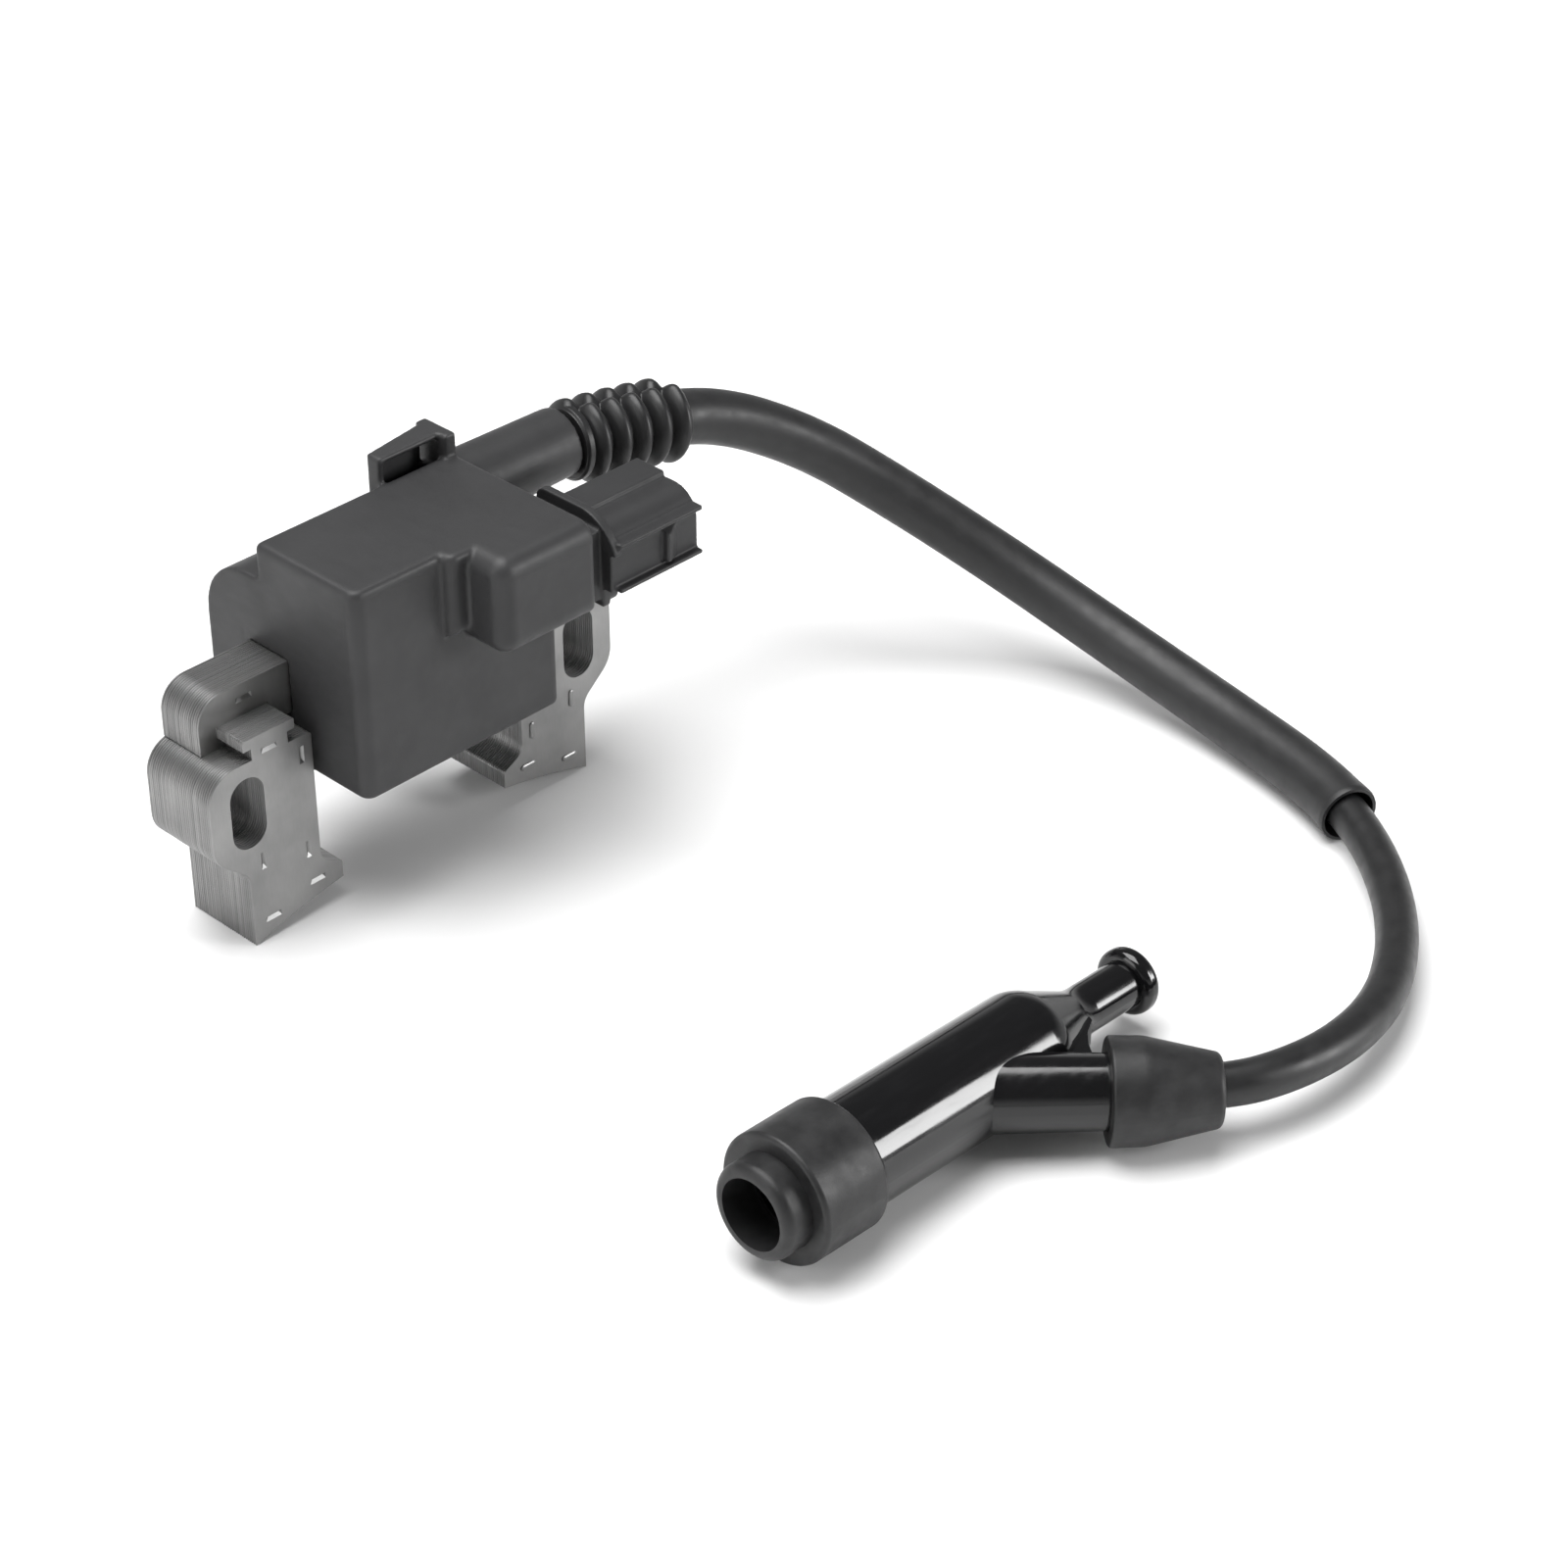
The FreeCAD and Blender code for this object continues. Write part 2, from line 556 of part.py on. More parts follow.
def connector():
    """The socket on the boss's side: neck, flange, ribbed shell and its open mouth."""
    neck = block("neck", ("case_right", "-19.8", "plate_base - 9"), ("plate_start + 1", "-6", "58.8"))
    flange = rounded("flange", block(
        "flange_block", ("plate_start", "plate_front", "plate_foot"),
        ("plate_start + plate_thick", "plate_back", "plate_top"),
    ), [
        (lambda p: near(p.y, "plate_front") and near(p.z, "plate_top"), "plate_corner"),
        (lambda p: near(p.y, "plate_back") and near(p.z, "plate_top"), "2.2"),
        (lambda p: near(p.y, "plate_back") and near(p.z, "plate_foot"), "1.8"),
    ])
    notch = block("flange_notch", ("plate_start - 1", "plate_front - 1", "plate_foot - 1"),
                  ("plate_start + plate_thick + 1", "foot_front", "plate_base"))
    foot = rounded("flange_foot", block(
        "flange_foot_block", ("plate_start", "foot_front", "plate_foot"),
        ("plate_start + 3.4", "-6", "plate_base + 1"),
    ), [
        (lambda p: near(p.z, "plate_foot") and near(p.y, "foot_front"), "1.8"),
        (lambda p: near(p.z, "plate_foot") and near(p.y, "-6"), "1.8"),
    ])
    shell = rounded("shell", block(
        "shell_block", ("plate_start", "shell_side", "shell_base"),
        ("shell_end", "shell_back", "shell_top"),
    ), [
        (lambda p: near(p.y, "shell_side") and near(p.z, "shell_top"), "shell_corner"),
        (lambda p: near(p.y, "shell_back") and near(p.z, "shell_top"), "0.6"),
    ])
    top_step = rounded("top_step", block(
        "top_step_block", ("plate_start", "-14.6", "shell_top - 2"),
        ("shell_end", "shell_back - 0.2", "shell_top + step_reach"),
    ), [
        (lambda p: near(p.y, "-14.6") and near(p.z, "shell_top + step_reach"), "0.5"),
    ])
    side_rib = block("side_rib", ("plate_start + 1", "shell_side - rib_reach", "shell_rib"),
                     ("shell_end", "shell_side + 1.5", "shell_rib + 0.9"))
    base_rib = block("base_rib", ("plate_start + 1", "shell_side - rib_reach", "shell_base"),
                     ("shell_end", "shell_side + 1", "shell_base + 0.8"))
    nub = doc.addObject("Part::Wedge", "latch_nub")
    nub.Xmin, nub.Xmax, nub.X2min, nub.X2max = 0, 3.4, 0.3, 0.9
    nub.Ymin, nub.Ymax = 0, 1.3
    nub.Zmin, nub.Zmax, nub.Z2min, nub.Z2max = 0, 6, 0.9, 6
    nub.Placement = FreeCAD.Placement(Vector(36.3, size("shell_side"), 55.2),
                                      FreeCAD.Rotation(Vector(1, 0, 0), 180))
    solid = fused("connector_solid", [
        neck, cut("flange_arch", flange, notch), foot, shell, top_step, side_rib, base_rib, nub,
    ])
    mouth = rounded("mouth", block(
        "mouth_block", ("plate_start + 4.2", "shell_side + shell_wall", "shell_base + shell_wall"),
        ("shell_end + 1", "shell_back - shell_wall", "shell_top - shell_wall"),
    ), [
        (lambda p: near(p.y, "shell_side + shell_wall") and near(p.z, "shell_top - shell_wall"),
         "shell_corner - shell_wall"),
    ])
    return cut("connector_shell", cut("connector_open", solid, mouth), room_for("shell_pins", [blades]))


shell = connector()

# ---------------------------------------------------------------- lead and what is on it


def route_edges(points):
    """Straight runs joined by arcs as large as the two runs of each turn allow."""
    edges, radii, start = [], [], points[0]
    for before, corner, after in zip(points, points[1:], points[2:]):
        back, onward = (before - corner), (after - corner)
        shorter = min(back.Length, onward.Length)
        half_turn = (math.pi - back.getAngle(onward)) / 2
        trim = 0.45 * shorter
        radius = trim / math.tan(half_turn)
        radii.append(radius)
        back.normalize()
        onward.normalize()
        enter, leave = corner + back * trim, corner + onward * trim
        inward = (back + onward).normalize()
        middle = corner + inward * (radius / math.cos(half_turn) - radius)
        edges.append(Part.LineSegment(start, enter).toShape())
        edges.append(Part.Arc(enter, middle, leave).toShape())
        start = leave
    edges.append(Part.LineSegment(start, points[-1]).toShape())
    return edges, radii


def halfway(run):
    return (LEAD_ROUTE[run] + LEAD_ROUTE[run + 1]) * 0.5


def swept(edges, radius):
    """A round solid along a path of edges, with its volume compared to its section."""
    path = Part.Wire(edges)
    first = edges[0]
    way = first.tangentAt(first.FirstParameter)
    circle = Part.Wire(Part.makeCircle(radius, first.valueAt(first.FirstParameter), way))
    solid = path.makePipeShell([circle], True, False)
    expected = math.pi * radius ** 2 * path.Length
    if abs(solid.Volume / expected - 1) > 0.01:
        raise RuntimeError(f"swept volume {solid.Volume:.1f}, expected {expected:.1f}")
    return solid


edges, radii = route_edges(LEAD_ROUTE)
print("lead arcs, mm:", " ".join(f"{r:.0f}" for r in radii))
print("lead length, mm:", round(Part.Wire(edges).Length, 1))
first_arc, last_arc = 2 * SLEEVE_FIRST_RUN + 1, 2 * SLEEVE_LAST_RUN - 1
sleeve_edges = [
    Part.LineSegment(halfway(SLEEVE_FIRST_RUN), edges[first_arc].Vertexes[0].Point).toShape(),
    *edges[first_arc:last_arc + 1],
    Part.LineSegment(edges[last_arc].Vertexes[1].Point, halfway(SLEEVE_LAST_RUN)).toShape(),
]
core_solid = swept(edges, size("conductor_radius"))
lead = feature("ht_lead", swept(edges, size("lead_radius")).cut(core_solid))
conductor = feature("lead_conductor", core_solid)
sleeve = feature("lead_sleeve", swept(sleeve_edges, size("sleeve_radius")).cut(
    swept(sleeve_edges, size("sleeve_bore"))))


def ribbed_boot():
    """The rubber strain relief: a tube with rounded ribs, from the tower's mouth."""
    ribs = 5
    corners = [("boot_bore", "0")]
    for i in range(ribs):
        foot = f"boot_pitch * {i}"
        corners += [
            ("boot_valley", foot), ("boot_radius", f"{foot} + boot_pitch * 0.25"),
            ("boot_radius", f"{foot} + boot_pitch * 0.75"),
        ]
    corners += [("boot_valley", f"boot_pitch * {ribs}"), ("boot_bore", f"boot_pitch * {ribs}")]
    body = turned("ribbed_boot", corners)
    way = LEAD_ROUTE[2] - LEAD_ROUTE[1]
    body.Placement = FreeCAD.Placement(
        Vector(size("tower_end") + 0.7, size("tower_side") - 0.35, size("tower_level") - 0.4),
        FreeCAD.Rotation(Vector(0, 0, 1), way))
    return body


boot = ribbed_boot()

# ---------------------------------------------------------------- spark plug cap
across = CAP_AXIS.cross(CAP_BRANCH_SIDE)
CAP_PLACE = FreeCAD.Placement(
    CAP_ORIGIN, FreeCAD.Rotation(CAP_BRANCH_SIDE, across, CAP_AXIS, "ZXY"))
BRANCH_PLACE = CAP_PLACE.multiply(FreeCAD.Placement(
    Vector(0, 0, size("branch_start")),
    FreeCAD.Rotation(Vector(0, 1, 0), size("branch_angle"))))


def placed(body, placement):
    body.Placement = placement
    return body


def cap_body():
    """The hard Y-shaped cap: main tube, shoulder, stem with knob, and the branch."""
    main = turned("cap_main", [
        ("0", "tube_start"), ("tube_radius", "tube_start"), ("tube_radius", "tube_end"),
        ("stem_radius", "stem_start"), ("stem_radius", "knob_start"),
        ("knob_radius", "knob_start"), ("knob_radius", "cap_length"), ("0", "cap_length"),
    ])
    soften(main, [
        ([("knob_radius", "knob_start"), ("knob_radius", "cap_length")], "1.4"),
        ([("tube_radius", "tube_end"), ("stem_radius", "stem_start")], "8"),
    ])
    branch = turned("cap_branch", [
        ("0", "0"), ("branch_root", "0"), ("branch_tip", "branch_long"), ("0", "branch_long"),
    ])
    bore = turned("cap_room", [
        ("0", "0"), ("plug_room", "0"), ("plug_room", "plug_room_end"),
        ("3.4", "plug_room_end + 3.6"), ("3.4", "contact_end"), ("0", "contact_end"),
    ])
    lead_room = turned("branch_room", [
        ("0", "0"), ("1.6", "0"), ("1.6", "lead_stop"), ("3.7", "lead_stop"), ("3.7", "branch_long + 1"),
        ("0", "branch_long + 1"),
    ])
    web = padded("cap_web", "XZ_Plane", [
        ("0", "tube_end - 6"), ("8", "tube_end - 4"), ("11.4", "tube_end + 2.3"),
        ("8.8", "tube_end + 4.2"), ("6.6", "tube_end + 6.6"), ("5", "tube_end + 9.6"),
        ("3", "tube_end + 10.4"), ("0", "tube_end + 10.4"),
    ], "web_thick")
    web.Placement = CAP_PLACE.multiply(FreeCAD.Placement(
        Vector(0, size("web_thick") / 2, 0), FreeCAD.Rotation()))
    solid = fused("cap_solid", [placed(main, CAP_PLACE), placed(branch, BRANCH_PLACE), web])
    hollow = fused("cap_hollow", [placed(bore, CAP_PLACE), placed(lead_room, BRANCH_PLACE)])
    return cut("cap_body", solid, hollow)


def plug_seal():
    """The rubber skirt on the cap's open end, with its smaller front ring."""
    body = turned("plug_seal", [
        ("cap_bore", "0"), ("ring_radius", "0"), ("ring_radius", "ring_long"),
        ("seal_radius", "ring_long"), ("seal_radius", "seal_long"), ("tube_radius", "seal_long"),
        ("tube_radius", "tube_start"), ("cap_bore", "tube_start"),
    ])
    soften(body, [
        ([("ring_radius", "0")], "1.5"),
        ([("seal_radius", "ring_long"), ("seal_radius", "seal_long")], "0.8"),
    ])
    return placed(body, CAP_PLACE)


def lead_seal():
    """The tapered rubber seal where the lead goes into the branch."""
    start, end = "lead_seal_start", "lead_seal_end"
    body = turned("lead_seal", [
        ("branch_tip + 0.2", start), ("lead_seal_big", start),
        ("lead_seal_big - 0.1", f"{start} + 5.5"), ("lead_seal_small", end),
        ("lead_radius + 0.1", end), ("lead_radius + 0.1", "branch_long"),
        ("branch_tip + 0.2", "branch_long"),
    ])
    soften(body, [
        ([("lead_seal_big", start)], "0.5"),
        ([("lead_seal_big - 0.1", f"{start} + 5.5")], "6"),
        ([("lead_seal_small", end)], "1.1"),
    ])
    return placed(body, BRANCH_PLACE)


cap = cap_body()
seal = plug_seal()
boot_seal = lead_seal()
lead_screw = placed(turned("lead_screw", [
    ("0", "3.6"), ("1.5", "3.6"), ("1.5", "lead_stop"), ("3.2", "lead_stop"),
    ("3.2", "lead_stop + 2"), ("0", "lead_stop + 2"),
]), BRANCH_PLACE)
resistor = placed(turned("suppression_resistor", [
    ("0", "contact_end - 15.4"), ("2.6", "contact_end - 15.4"), ("2.6", "contact_end"),
    ("0", "contact_end"),
]), CAP_PLACE)
spring = placed(turned("contact_spring", [
    ("1.8", "plug_room_end + 5"), ("2.5", "plug_room_end + 5"), ("2.5", "contact_end - 15.4"),
    ("1.8", "contact_end - 15.4"),
]), CAP_PLACE)
plug_clip = placed(turned("plug_terminal_clip", [
    ("3.1", "plug_room_end - 4"), ("4.2", "plug_room_end - 4"), ("4.2", "plug_room_end"),
    ("2.9", "plug_room_end + 2.4"), ("2.9", "plug_room_end + 5"), ("1", "plug_room_end + 5"),
    ("1", "plug_room_end + 4.2"), ("2.2", "plug_room_end + 4.2"), ("2.2", "plug_room_end + 2"),
    ("3.1", "plug_room_end - 0.4"),
]), CAP_PLACE)

# ---------------------------------------------------------------- check and write
NODES = [
    bar, *legs, case, potting, primary_bobbin, primary_winding, secondary_bobbin,
    secondary_winding, board, transistor, chip, capacitor, strap, spike, blades, shell, boot,
    sleeve, lead, conductor, cap, seal, boot_seal, lead_screw, resistor, spring, plug_clip,
]
doc.recompute()
for obj in doc.Objects:
    if "Invalid" in obj.State or "Error" in obj.State:
        raise RuntimeError(f"{obj.Label} failed: {obj.State}")
for node in NODES:
    if node.Shape.isNull() or not node.Shape.isValid() or not node.Shape.Solids:
        raise RuntimeError(f"{node.Label} has no valid solid")

os.makedirs("parts", exist_ok=True)
for node in NODES:
    node.Shape.exportStep(f"parts/{node.Label}.step")
    box = node.Shape.optimalBoundingBox(False)
    print(f"{node.Label}: {len(node.Shape.Solids)} solids, {node.Shape.Volume:.0f} mm3, "
          f"z {box.ZMin:.2f} to {box.ZMax:.2f}")
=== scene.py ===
"""Ignition coil with its lead and plug cap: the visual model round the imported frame."""
import json
import math
import random

import bmesh
import bpy
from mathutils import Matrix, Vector


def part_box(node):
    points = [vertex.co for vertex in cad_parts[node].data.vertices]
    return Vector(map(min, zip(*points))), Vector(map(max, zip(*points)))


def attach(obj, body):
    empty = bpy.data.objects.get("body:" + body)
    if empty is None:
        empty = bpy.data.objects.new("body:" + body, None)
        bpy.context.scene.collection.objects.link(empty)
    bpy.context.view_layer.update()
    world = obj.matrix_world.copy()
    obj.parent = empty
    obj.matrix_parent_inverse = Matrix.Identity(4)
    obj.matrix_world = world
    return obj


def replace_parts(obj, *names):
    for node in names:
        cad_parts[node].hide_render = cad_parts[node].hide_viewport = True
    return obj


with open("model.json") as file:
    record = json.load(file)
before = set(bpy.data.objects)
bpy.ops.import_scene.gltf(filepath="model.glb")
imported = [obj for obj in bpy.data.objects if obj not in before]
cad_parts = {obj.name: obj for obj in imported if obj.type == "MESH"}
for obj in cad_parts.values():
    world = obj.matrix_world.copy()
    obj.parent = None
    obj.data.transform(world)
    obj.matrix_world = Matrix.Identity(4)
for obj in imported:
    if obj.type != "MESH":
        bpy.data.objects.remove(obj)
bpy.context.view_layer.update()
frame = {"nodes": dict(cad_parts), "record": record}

MM = 0.001
NODES = frame["nodes"]
random.seed(7)

# The camera, as it was fitted to the object.
CAMERA_PLACE = (-0.33605, -0.41021, 0.36386)
CAMERA_DOWN, CAMERA_TURN = 33.72, -45.95
CAMERA_LENS = 86.95


# ---------------------------------------------------------------- camera
def make_camera():
    """Looks down at the coil from the front left, a little above a third of a right angle."""
    data = bpy.data.cameras.new("camera")
    data.sensor_width = 36
    data.lens = CAMERA_LENS
    data.clip_start, data.clip_end = 0.01, 20
    obj = bpy.data.objects.new("camera", data)
    obj.location = CAMERA_PLACE
    obj.rotation_euler = (math.radians(90 - CAMERA_DOWN), 0, math.radians(CAMERA_TURN))
    bpy.context.scene.collection.objects.link(obj)
    bpy.context.scene.camera = obj


make_camera()


# ---------------------------------------------------------------- small helpers
def new_piece(name, mesh, material):
    """An object for a finished mesh or curve, riding on the one body."""
    obj = bpy.data.objects.new(name, mesh)
    bpy.context.scene.collection.objects.link(obj)
    obj.data.materials.append(material)
    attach(obj, "root")
    return obj


def mesh_from(name, bm, smooth_angle=None):
    """The bmesh as mesh data, shaded smooth up to an angle if one is given."""
    bmesh.ops.recalc_face_normals(bm, faces=bm.faces)
    mesh = bpy.data.meshes.new(name)
    bm.to_mesh(mesh)
    bm.free()
    if smooth_angle is not None:
        mesh.polygons.foreach_set("use_smooth", [True] * len(mesh.polygons))
        mesh.set_sharp_from_angle(angle=math.radians(smooth_angle))
    return mesh


def smoothstep(low, high, value):
    x = min(max((value - low) / (high - low), 0.0), 1.0)
    return x * x * (3 - 2 * x)


# ---------------------------------------------------------------- materials
class Shader:
    """A material with one Principled shader and short calls for its nodes."""

    def __init__(self, name, base, roughness, metallic=0.0, specular=0.5):
        self.material = bpy.data.materials.new(name)
        self.material.use_nodes = True
        self.tree = self.material.node_tree
        self.surface = self.tree.nodes["Principled BSDF"]
        self.surface.inputs["Base Color"].default_value = (*base, 1)
        self.surface.inputs["Roughness"].default_value = roughness
        self.surface.inputs["Metallic"].default_value = metallic
        self.surface.inputs["Specular IOR Level"].default_value = specular
        self.place = self.tree.nodes.new("ShaderNodeTexCoord").outputs["Object"]

    def node(self, kind, inputs=None, **properties):
        node = self.tree.nodes.new("ShaderNode" + kind)
        for key, value in properties.items():
            setattr(node, key, value)
        for key, value in (inputs or {}).items():
            if isinstance(value, bpy.types.NodeSocket):
                self.tree.links.new(value, node.inputs[key])
            else:
                node.inputs[key].default_value = value
        return node

    def stretched(self, x, y, z):
        """Object coordinates scaled per axis."""
        return self.node("Mapping", {"Vector": self.place, "Scale": (x, y, z)}).outputs[0]

    def noise(self, scale, detail=4.0, place=None):
        inputs = {"Vector": place or self.place, "Scale": scale, "Detail": detail}
        return self.node("TexNoise", inputs).outputs["Fac"]

    def ramp(self, value, low, high, out_low, out_high):
        """Maps a value from one range to another, clamped."""
        return self.node("MapRange", {
            "Value": value, "From Min": low, "From Max": high,
            "To Min": out_low, "To Max": out_high,
        }).outputs[0]

    def times(self, one, other):
        return self.node("Math", {0: one, 1: other}, operation="MULTIPLY").outputs[0]

    def plus(self, one, other):
        return self.node("Math", {0: one, 1: other}, operation="ADD").outputs[0]

    def mix(self, factor, colour_a, colour_b):
        node = self.node("Mix", data_type="RGBA")
        for socket, value in ((0, factor), (6, colour_a), (7, colour_b)):
            if isinstance(value, bpy.types.NodeSocket):
                self.tree.links.new(value, node.inputs[socket])
            else:
                node.inputs[socket].default_value = value if socket == 0 else (*value, 1)
        return node.outputs[2]

    def colour(self, socket):
        self.tree.links.new(socket, self.surface.inputs["Base Color"])

    def rough(self, socket):
        self.tree.links.new(socket, self.surface.inputs["Roughness"])

    def bump(self, height, distance, strength=1.0, under=None):
        inputs = {"Height": height, "Distance": distance, "Strength": strength}
        if under:
            inputs["Normal"] = under
        out = self.node("Bump", inputs).outputs[0]
        self.tree.links.new(out, self.surface.inputs["Normal"])
        return out


def moulded(name, base, roughness, grain=0.00004, specular=0.4):
    """Moulded plastic: a fine grain, soft clouds of tone and a few faint rub marks."""
    s = Shader(name, base, roughness, specular=specular)
    cloud = s.ramp(s.noise(70, 3), 0.3, 0.7, 0.0, 1.0)
    light = [c * 1.16 for c in base]
    dark = [c * 0.88 for c in base]
    s.colour(s.mix(cloud, dark, light))
    rub = s.ramp(s.noise(500, 5, s.stretched(1, 0.35, 1)), 0.45, 0.75, 0.0, 1.0)
    s.rough(s.plus(s.times(rub, -0.07), s.ramp(cloud, 0, 1, roughness + 0.04, roughness - 0.03)))
    s.bump(s.noise(5200, 2), grain, 0.5)
    return s.material


def rubber(name, base, roughness, patches=0.35):
    """Moulded rubber: slightly uneven, with paler rubbed patches and dust in places."""
    s = Shader(name, base, roughness, specular=0.45)
    cloud = s.ramp(s.noise(240, 5), 0.46, 0.72, 0.0, patches)
    pale = [c * 2.0 + 0.01 for c in base]
    s.colour(s.mix(cloud, base, pale))
    s.rough(s.ramp(s.noise(320, 4), 0.3, 0.7, roughness - 0.06, roughness + 0.08))
    lumps = s.bump(s.noise(260, 3), 0.00012, 0.35)
    s.bump(s.noise(3800, 2), 0.00003, 0.4, under=lumps)
    return s.material


def gloss(name, base):
    """Polished phenolic moulding with a faint waviness and fine wipe marks."""
    s = Shader(name, base, 0.11, specular=0.55)
    wipe = s.ramp(s.noise(900, 4, s.stretched(0.15, 1, 1)), 0.45, 0.8, 0.0, 1.0)
    s.rough(s.ramp(wipe, 0, 1, 0.1, 0.2))
    s.colour(s.mix(wipe, base, [c * 1.3 for c in base]))
    s.bump(s.noise(140, 2), 0.00008, 0.25)
    return s.material


def sheet_steel(name, sheet):
    """Stamped electrical steel: each sheet's own tone on the edges, mill marks on the faces."""
    s = Shader(name, (0.35, 0.35, 0.35), 0.38, metallic=1.0)
    split = s.node("SeparateXYZ", {0: s.place})
    index = s.node("Math", {0: s.times(split.outputs["Y"], 1 / sheet)}, operation="FLOOR")
    tone = s.node("TexWhiteNoise", {"W": index.outputs[0]}, noise_dimensions="1D").outputs["Value"]
    cloud = s.noise(90, 3)
    fine = s.noise(2600, 3, s.stretched(1, 1, 0.25))
    value = s.plus(s.times(tone, 0.2), s.plus(s.times(cloud, 0.6), s.times(fine, 0.08)))
    s.colour(s.mix(s.ramp(value, 0.25, 0.75, 0.0, 1.0), (0.2, 0.2, 0.2), (0.36, 0.358, 0.353)))
    s.rough(s.ramp(value, 0.25, 0.75, 0.48, 0.36))
    s.bump(fine, 0.00003, 0.5)
    return s.material


def plain_metal(name, base, roughness):
    """Drawn or plated metal with slight tarnish."""
    s = Shader(name, base, roughness, metallic=1.0)
    tarnish = s.ramp(s.noise(600, 5), 0.4, 0.75, 0.0, 1.0)
    s.colour(s.mix(tarnish, base, [c * 0.7 for c in base]))
    s.rough(s.ramp(tarnish, 0, 1, roughness, roughness + 0.15))
    return s.material


def wound_copper(name):
    """Enamelled wire wound along X, its turns as fine ridges."""
    s = Shader(name, (0.62, 0.25, 0.1), 0.3, metallic=1.0)
    split = s.node("SeparateXYZ", {0: s.place})
    turns = s.node("Math", {0: s.times(split.outputs["X"], 2 * math.pi / 0.00035)}, operation="SINE")
    s.bump(turns.outputs[0], 0.0001, 0.6)
    s.colour(s.mix(s.noise(300, 4), (0.5, 0.18, 0.07), (0.7, 0.32, 0.14)))
    return s.material


STEEL_SHEET = 0.5 * MM
MATERIALS = {
    "lamination_steel": sheet_steel("lamination_steel", STEEL_SHEET),
    "case_plastic": moulded("case_plastic", (0.026, 0.026, 0.027), 0.5),
    "connector_plastic": moulded("connector_plastic", (0.021, 0.021, 0.022), 0.52),
    "potting_resin": gloss("potting_resin", (0.02, 0.02, 0.021)),
    "bobbin_plastic": moulded("bobbin_plastic", (0.6, 0.56, 0.48), 0.5),
    "copper": wound_copper("copper"),
    "board": moulded("board", (0.03, 0.16, 0.07), 0.4),
    "component_black": moulded("component_black", (0.03, 0.03, 0.03), 0.5),
    "brass": plain_metal("brass", (0.72, 0.52, 0.22), 0.3),
    "boot_rubber": rubber("boot_rubber", (0.011, 0.011, 0.0115), 0.4, 0.15),
    "sleeve_rubber": rubber("sleeve_rubber", (0.015, 0.015, 0.0155), 0.45, 0.1),
    "lead_rubber": rubber("lead_rubber", (0.012, 0.012, 0.0125), 0.4, 0.08),
    "cap_plastic": gloss("cap_plastic", (0.005, 0.005, 0.0055)),
    "seal_rubber": rubber("seal_rubber", (0.01, 0.01, 0.0105), 0.46, 0.5),
    "steel": plain_metal("steel", (0.5, 0.5, 0.5), 0.35),
    "resistor_body": moulded("resistor_body", (0.32, 0.26, 0.2), 0.5),
}
for part in frame["record"]["subparts"]:
    node_mesh = NODES[part["node"]].data
    node_mesh.materials.clear()
    node_mesh.materials.append(MATERIALS[part["material_slot"]])

# ---------------------------------------------------------------- lead and sleeve
LEAD_ROUTE = [
    (0.0280, 0.0112, 0.0556), (0.0400, 0.0112, 0.0556), (0.0585, 0.0094, 0.0536),
    (0.0765, 0.0073, 0.0506), (0.0930, 0.0000, 0.0414), (0.1046, -0.0109, 0.0305),
    (0.1144, -0.0283, 0.0192), (0.1195, -0.0512, 0.0102), (0.1191, -0.0770, 0.0057),
    (0.1137, -0.1034, 0.0054), (0.1053, -0.1198, 0.0053), (0.0919, -0.1350, 0.0052),
    (0.0757, -0.1458, 0.0061), (0.0609, -0.1505, 0.0074), (0.0456, -0.1505, 0.0087),
    (0.0317, -0.1454, 0.0092), (0.0181, -0.1325, 0.0095),
]
LEAD_RADIUS = 3.5 * MM
STRAND_RADIUS = 0.8 * MM
SLEEVE_RADIUS = 5 * MM
SLEEVE_WALL = 0.75 * MM


def route_curve(name, radius):
    """A round cord of that radius on the lead's smooth line."""
    curve = bpy.data.curves.new(name, "CURVE")
    curve.dimensions = "3D"
    spline = curve.splines.new("NURBS")
    spline.points.add(len(LEAD_ROUTE) - 1)
    for point, place in zip(spline.points, LEAD_ROUTE):
        point.co = (*place, 1)
    spline.order_u = 3
    spline.use_endpoint_u = True
    curve.resolution_u = 16
    curve.bevel_depth = radius
    curve.bevel_resolution = 10
    curve.use_fill_caps = radius > 0
    return curve


def centreline():
    """Points along the lead's line, read from its spline."""
    obj = bpy.data.objects.new("lead_line", route_curve("lead_line", 0))
    bpy.context.scene.collection.objects.link(obj)
    bpy.context.view_layer.update()
    mesh = bpy.data.meshes.new_from_object(obj)
    points = [v.co.copy() for v in mesh.vertices]
    bpy.data.meshes.remove(mesh)
    bpy.data.objects.remove(obj)
    return points


